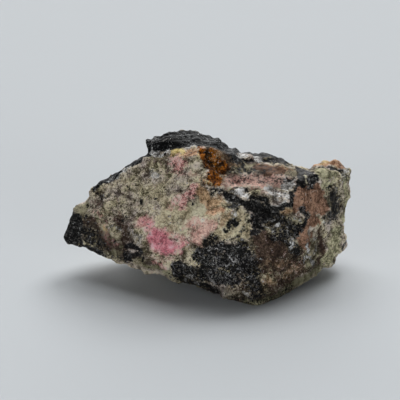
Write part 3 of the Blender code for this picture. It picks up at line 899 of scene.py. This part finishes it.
class Recipe:
    """One material, and the ways to add nodes to it."""

    def __init__(self, name):
        self.material = bpy.data.materials.new(name)
        self.material.use_nodes = True
        self.tree = self.material.node_tree
        self.shader = self.tree.nodes["Principled BSDF"]

    def node(self, kind, settings=None, inputs=None, output=0):
        """Adds a node, sets it up, joins its inputs and returns a wire from one output."""
        made = self.tree.nodes.new(kind)
        for name, value in (settings or {}).items():
            if name == "stops":
                self.set_stops(made.color_ramp, value)
            else:
                setattr(made, name, value)
        for name, value in (inputs or {}).items():
            self.join(made.inputs[name], value)
        return Wire(self, made.outputs[output])

    def set_stops(self, ramp, stops):
        while len(ramp.elements) < len(stops):
            ramp.elements.new(1.0)
        for element, (place, colour) in zip(ramp.elements, stops):
            element.position = place
            element.color = colour

    def join(self, socket, value):
        if isinstance(value, Wire):
            self.tree.links.new(value.socket, socket)
        else:
            socket.default_value = value

    def math(self, operation, *values, clamp=False):
        settings = {"operation": operation, "use_clamp": clamp}
        return self.node("ShaderNodeMath", settings, dict(enumerate(values)))

    def clamped(self, value):
        return self.math("ADD", value, 0.0, clamp=True)

    def attribute(self, name):
        return self.node("ShaderNodeAttribute", {"attribute_name": name}, output="Fac")

    def vector(self, operation, *values):
        return self.node("ShaderNodeVectorMath", {"operation": operation}, dict(enumerate(values)))

    def blend(self, factor, below, above, kind="MIX"):
        """A Mix node on colours."""
        settings = {"data_type": "RGBA", "blend_type": kind}
        return self.node("ShaderNodeMix", settings, {0: factor, 6: below, 7: above}, output=2)

    def noise(self, place, size_mm, detail=3.0, roughness=0.6, output=0):
        inputs = {"Vector": place, "Scale": 1 / size_mm, "Detail": detail, "Roughness": roughness}
        return self.node("ShaderNodeTexNoise", None, inputs, output)

    def cells(self, place, size_mm, output="Distance"):
        inputs = {"Vector": place, "Scale": 1 / size_mm}
        return self.node("ShaderNodeTexVoronoi", None, inputs, output)

    def placed(self, place, scale=(1, 1, 1), turn=(0, 0, 0)):
        inputs = {"Vector": place, "Scale": scale, "Rotation": turn}
        return self.node("ShaderNodeMapping", None, inputs)


print("recipe ready")

# %% [markdown]
# ## Colours
#
# The palette has three tones for each mineral: its dark grains, its usual colour and its
# bright grains, in the 8-bit numbers of a photograph. The lamps leave the front of the stone
# about half as bright as the floor, so each tone is lifted before it becomes a colour.

# %% Palette
LIFT = 1.8
TONES = {
    "sugar": ((52, 47, 35), (109, 103, 81), (168, 160, 135)),
    "lilac": ((56, 48, 44), (113, 103, 96), (174, 165, 158)),
    "speckled": ((9, 8, 5), (48, 41, 31), (134, 121, 97)),
    "black": ((3, 3, 3), (11, 10, 12), (88, 87, 87)),
    "jet": ((4, 4, 4), (17, 17, 17), (74, 73, 71)),
    # The rind's bright tone is painted sheen, laid on in thin streaks.
    "rind": ((2, 2, 3), (3, 4, 5), (98, 100, 100)),
    "pink": ((122, 67, 74), (181, 112, 121), (215, 157, 162)),
    "dusty": ((136, 98, 90), (194, 158, 145), (216, 192, 178)),
    "mauve": ((70, 39, 41), (157, 108, 102), (190, 156, 150)),
    "cream": ((104, 95, 74), (162, 151, 125), (196, 187, 162)),
    "mint": ((130, 126, 102), (172, 164, 139), (200, 194, 172)),
    "white": ((62, 60, 58), (146, 144, 140), (212, 210, 206)),
    "crystal": ((46, 45, 43), (122, 120, 117), (204, 202, 198)),
    "rust": ((30, 14, 3), (77, 41, 8), (138, 80, 18)),
    "umber": ((16, 9, 3), (53, 31, 7), (130, 77, 18)),
    "tan": ((76, 56, 36), (138, 113, 85), (182, 156, 126)),
    "peach": ((112, 80, 60), (162, 128, 101), (196, 166, 140)),
    "yellow": ((100, 84, 40), (150, 133, 82), (184, 168, 120)),
    "salmon": ((47, 34, 26), (103, 77, 62), (145, 115, 95)),
    "brown": ((18, 13, 10), (51, 40, 33), (100, 84, 70)),
    "olive": ((52, 50, 34), (119, 116, 92), (170, 166, 138)),
}


def linear(byte):
    """An 8-bit number of a photograph as the light that it stands for."""
    share = byte / 255
    return share / 12.92 if share <= 0.04045 else ((share + 0.055) / 1.055) ** 2.4


def colour(tone):
    return (*(min(0.95, LIFT * linear(byte)) for byte in tone), 1.0)


print("the sugary matrix's usual colour:", [round(c, 2) for c in colour(TONES["sugar"][1])])

# %% [markdown]
# ## Grain noises
#
# Up close the stone is salt and pepper: grains a quarter of a millimetre wide, each lighter or
# darker than the next. Farther off they blend into clouds a few millimetres wide. So the tones
# take most of their contrast from the finest noise and from the clouds, and little from between.

# %% Noises
recipe = Recipe("tugtupite_matrix")
object_place = recipe.node("ShaderNodeTexCoord", output="Object")
in_mm = recipe.placed(object_place, scale=(1 / MM, 1 / MM, 1 / MM))
wobble = recipe.noise(in_mm, 0.9, detail=2.0, output=1)
centred = recipe.vector("SUBTRACT", wobble, (0.5, 0.5, 0.5))
place = recipe.vector("ADD", in_mm, recipe.vector("MULTIPLY", centred, (0.8, 0.8, 0.8)))

fine = recipe.noise(place, 0.26, detail=1.0) - 0.5
rough = recipe.noise(place, 1.3, detail=5.0, roughness=0.65) - 0.5
cloud = recipe.noise(place, 3.2, detail=2.0, roughness=0.5) - 0.5
broad = recipe.noise(place, 7.0, detail=1.0) - 0.5
grain_colours = recipe.cells(place, 0.42, output="Color")
grain = recipe.node("ShaderNodeSeparateColor", None, {0: grain_colours}) - 0.5
lot = recipe.node("ShaderNodeSeparateColor", None, {0: grain_colours}, 1) - 0.5
along_ledges = recipe.placed(place, scale=(0.3, 1.1, 1.5), turn=(0.3, 0.25, 0.0))
streak = recipe.noise(along_ledges, 0.34, detail=2.0) - 0.5
# Painted shade in the creases, partly dirt, and painted light on the crests.
crest = recipe.attribute("crest") - 0.5
grainy = grain * 0.55 + fine * 1.9 + rough * 0.6 + cloud * 1.8 + broad * 0.6 + crest * 0.6
sparkling = grain * 0.9 + fine * 2.8 + rough * 0.6 + cloud * 0.8 + broad * 0.5
# The streaky pattern is painted sheen: it lifts the rind to its bright tone in thin streaks.
streaky = streak * 3.4 + grain * 0.7 + fine * 2.2 + cloud * 0.7 + broad * 0.9 - 0.2
print("noises ready")

# %% [markdown]
# ## A tone and a mask for each mineral
#
# The tone runs through a mineral's three colours with the noises. The mask says where the
# mineral shows: where its share and a noise together pass one half. Soft minerals pass into
# one another like clouds, and black ones as loose grains that get denser.

# %% Tones and masks
crumbly = rough * 1.3 + lot * 0.3 + cloud * 0.6
peppery = rough * 1.5 + lot * 0.7 + fine * 0.6


def mottled(tones, contrast, pattern, places=(0.1, 0.5, 0.9)):
    """A colour that runs through a mineral's three tones with a pattern of noises."""
    stops = [(place, colour(tone)) for place, tone in zip(places, tones)]
    mix = recipe.clamped(pattern * contrast + 0.5)
    return recipe.node("ShaderNodeValToRGB", {"stops": stops}, {0: mix})


def shows(mineral, edge, crumble, pattern):
    """1 where a mineral lies, 0 where it doesn't; edge is how sharply its share counts."""
    share = recipe.attribute(mineral) - 0.5
    return recipe.clamped(share * edge + pattern * crumble + 0.5)


LAYERS = {
    "speckled": {"edge": 2.4, "crumble": 1.8, "pattern": peppery, "contrast": 0.7},
    "brown": {"edge": 2.4, "crumble": 1.5, "pattern": peppery, "contrast": 0.5},
    "olive": {"edge": 2.0, "crumble": 1.4, "pattern": crumbly, "contrast": 0.8},
    "cream": {"edge": 1.6, "crumble": 1.2, "pattern": crumbly, "contrast": 0.65},
    "tan": {"edge": 1.8, "crumble": 1.4, "pattern": crumbly, "contrast": 0.75},
    "peach": {"edge": 1.8, "crumble": 1.2, "pattern": crumbly, "contrast": 0.8},
    "yellow": {"edge": 1.8, "crumble": 1.4, "pattern": crumbly, "contrast": 0.8},
    "mint": {"edge": 1.8, "crumble": 1.0, "pattern": crumbly, "contrast": 0.6},
    "dusty": {"edge": 1.5, "crumble": 1.1, "pattern": crumbly, "contrast": 0.6},
    "mauve": {"edge": 1.8, "crumble": 1.5, "pattern": peppery, "contrast": 1.0},
    "salmon": {"edge": 4.0, "crumble": 2.0, "pattern": crumbly, "contrast": 0.75},
    "pink": {"edge": 1.5, "crumble": 1.0, "pattern": crumbly, "contrast": 0.55},
    "rust": {"edge": 2.6, "crumble": 1.6, "pattern": peppery, "contrast": 1.1},
    "umber": {"edge": 2.2, "crumble": 2.0, "pattern": peppery, "contrast": 1.0},
    "rind": {"edge": 5.0, "crumble": 1.8, "pattern": peppery, "contrast": 0.85},
    "white": {"edge": 2.6, "crumble": 2.0, "pattern": peppery, "contrast": 0.9},
    "black": {"edge": 3.0, "crumble": 2.9, "pattern": peppery, "contrast": 0.68},
    "jet": {"edge": 4.4, "crumble": 2.8, "pattern": peppery, "contrast": 0.8},
    "crystal": {"edge": 2.6, "crumble": 2.2, "pattern": peppery, "contrast": 0.9},
}
DARK_PATTERNS = {"black": sparkling, "speckled": sparkling, "jet": sparkling, "rind": streaky}
DARK_PLACES = (0.15, 0.7, 1.0)
lilac_share = recipe.clamped(recipe.noise(place, 4.5, detail=3.0) * 4 - 1.6)
surface = recipe.blend(
    lilac_share, mottled(TONES["sugar"], 1.0, grainy), mottled(TONES["lilac"], 1.0, grainy)
)
masks = {}
for mineral, layer in LAYERS.items():
    masks[mineral] = shows(mineral, layer["edge"], layer["crumble"], layer["pattern"])
    if mineral in DARK_PATTERNS:
        tones = mottled(TONES[mineral], layer["contrast"], DARK_PATTERNS[mineral], DARK_PLACES)
    else:
        tones = mottled(TONES[mineral], layer["contrast"], grainy)
    surface = recipe.blend(masks[mineral], surface, tones)
print("minerals over one another:", len(LAYERS) + 2)

# %% [markdown]
# ## Pepper and flecks
#
# Dark specks sit in the pale minerals, as small crystals of the other kind do. The pale
# flecks in the black ones are partly such crystals and partly painted glints, light caught by
# small crystal faces. Both are cells of a Voronoi texture, of which only every fifth or so is
# picked by its colour.

# %% Specks of the other kind
PEPPER_TONE = (34, 27, 22)
FLECK_TONE = (114, 112, 108)
NEEDLE_TONE = (130, 127, 118)
PAINTED_SHADE_DEPTH = 0.8
PAINTED_SHADE_SPECKLE = 1.6
dark_share = recipe.math("MAXIMUM", recipe.math("MAXIMUM", masks["black"], masks["jet"]), masks["rind"])
smooth_share = recipe.math("MAXIMUM", masks["cream"], masks["mint"])


def specks(where, size_mm, channel, empty, radius):
    """Round specks in some of the cells; empty is the share of cells without one."""
    away = recipe.cells(where, size_mm)
    lot = recipe.node("ShaderNodeSeparateColor", None, {0: recipe.cells(where, size_mm, "Color")}, channel)
    return recipe.clamped((lot - empty) * 12) * recipe.clamped((radius - away) * 7)


peppered = recipe.clamped(broad * 2 + cloud * 2 + masks["white"] * 0.5 + 0.7)
pepper = specks(place, 0.75, 1, 0.78, 0.36) * (1 - dark_share) * (0.9 - smooth_share * 0.6) * peppered
surface = recipe.blend(pepper, surface, colour(PEPPER_TONE))
slanted = recipe.placed(place, scale=(1.0, 1.0, 0.4), turn=(0.2, 0.5, 0.0))
# Pale flecks in the black minerals: partly crystals, partly painted glints.
fleck = specks(slanted, 0.5, 2, 0.76, 0.36) * masks["black"] * recipe.clamped(cloud * 6 + 0.35)
surface = recipe.blend(fleck * 0.7, surface, colour(FLECK_TONE))
upright = recipe.placed(place, scale=(1.0, 1.0, 0.22), turn=(0.35, 0.4, 0.0))
needle_ground = recipe.clamped(masks["black"] * 0.7 + masks["speckled"] * 0.7 - masks["rind"])
needle = specks(upright, 0.6, 0, 0.86, 0.3) * needle_ground * recipe.clamped(broad * 5 + cloud * 3 + 0.4)
surface = recipe.blend(needle * 0.8, surface, colour(NEEDLE_TONE))
# Painted shade: a speckled near-black mix over the places that fall darker.
painted_shade_mask = recipe.clamped(recipe.attribute("grime") * (sparkling * PAINTED_SHADE_SPECKLE + 1.0) * PAINTED_SHADE_DEPTH)
surface = recipe.blend(painted_shade_mask, surface, (0.004, 0.004, 0.004, 1.0))
print("specks of two kinds, and grime")

# %% [markdown]
# ## Gloss and fine bumps
#
# Broken crystals glint a little where the sugary matrix is dull. The grains that are too small
# for the mesh are a bump.

# %% The shader's other sockets
SHINE = 0.1
BUMP_MM = 0.22
height = fine * 0.6 + rough * 0.5 + grain * 0.15
inputs = {"Strength": 0.6, "Distance": BUMP_MM * MM, "Height": height}
bump = recipe.node("ShaderNodeBump", None, inputs)
gloss = recipe.clamped(0.74 - dark_share * 0.22 - fleck * 0.1 + fine * 0.3)
recipe.join(recipe.shader.inputs["Base Color"], surface)
recipe.join(recipe.shader.inputs["Roughness"], gloss)
recipe.join(recipe.shader.inputs["Normal"], bump)
recipe.join(recipe.shader.inputs["Specular IOR Level"], SHINE)
stone.data.materials.clear()
stone.data.materials.append(recipe.material)
print("the material has", len(recipe.tree.nodes), "nodes")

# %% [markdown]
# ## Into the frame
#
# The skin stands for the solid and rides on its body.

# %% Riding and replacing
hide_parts("stone")
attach(stone, "root")
print("the skin rides on", "root")

# %% [markdown]
# ## Floor
#
# The photograph was taken on a pale sheet that curves up out of sight. Seen from above, an
# endless level sheet looks the same.

# %% A pale sheet
FLOOR_SIDE = 6.0
FLOOR_COLOUR = (0.572, 0.603, 0.627, 1.0)


def pale_sheet():
    bm = bmesh.new()
    bmesh.ops.create_grid(bm, x_segments=1, y_segments=1, size=FLOOR_SIDE / 2)
    mesh = bpy.data.meshes.new("floor")
    bm.to_mesh(mesh)
    bm.free()
    floor = bpy.data.objects.new("floor", mesh)
    bpy.context.scene.collection.objects.link(floor)
    paper = Recipe("pale_paper")
    paper.join(paper.shader.inputs["Base Color"], FLOOR_COLOUR)
    paper.join(paper.shader.inputs["Roughness"], 0.9)
    mesh.materials.append(paper.material)
    return floor


pale_sheet()
print("floor laid")

# %% [markdown]
# ## Light
#
# The shadow in the photograph is soft and falls forward and to the left, so the large lamps
# stand behind and above the stone. Two dim ones low in front keep its face from going dark.
# Distant lamps with a wide angle give the same soft light all over the floor.

# %% Lamps
LAMPS = {
    "softbox behind, right": {"rise": 46, "towards": 63, "spread": 28, "strength": 1.95},
    "softbox behind, left": {"rise": 50, "towards": 115, "spread": 28, "strength": 0.76},
    "low strip behind": {"rise": 22, "towards": 90, "spread": 35, "strength": 0.88},
    "softbox above": {"rise": 66, "towards": 100, "spread": 28, "strength": 0.48},
    "card in front, left": {"rise": 5, "towards": 235, "spread": 35, "strength": 0.98},
    "card in front, right": {"rise": 5, "towards": 305, "spread": 35, "strength": 0.88},
}
ROOM_COLOUR = (0.93, 0.97, 1.0, 1.0)
ROOM_STRENGTH = 0.02


def soft_sun(name, rise, towards, spread, strength):
    """A distant soft lamp; rise and towards are angles in degrees, towards counted from +X."""
    lamp = bpy.data.lights.new(name, "SUN")
    lamp.angle = math.radians(spread)
    lamp.energy = strength
    lit = bpy.data.objects.new(name, lamp)
    up, turned = math.radians(rise), math.radians(towards)
    level = math.cos(up)
    source = Vector((level * math.cos(turned), level * math.sin(turned), math.sin(up)))
    lit.rotation_euler = source.to_track_quat("Z", "Y").to_euler()
    bpy.context.scene.collection.objects.link(lit)


for name, lamp in LAMPS.items():
    soft_sun(name, **lamp)

world = bpy.data.worlds.new("studio")
world.use_nodes = True
room = world.node_tree.nodes["Background"]
room.inputs["Color"].default_value = ROOM_COLOUR
room.inputs["Strength"].default_value = ROOM_STRENGTH
bpy.context.scene.world = world
bpy.context.scene.view_settings.view_transform = "Standard"
print("lamps:", len(LAMPS))
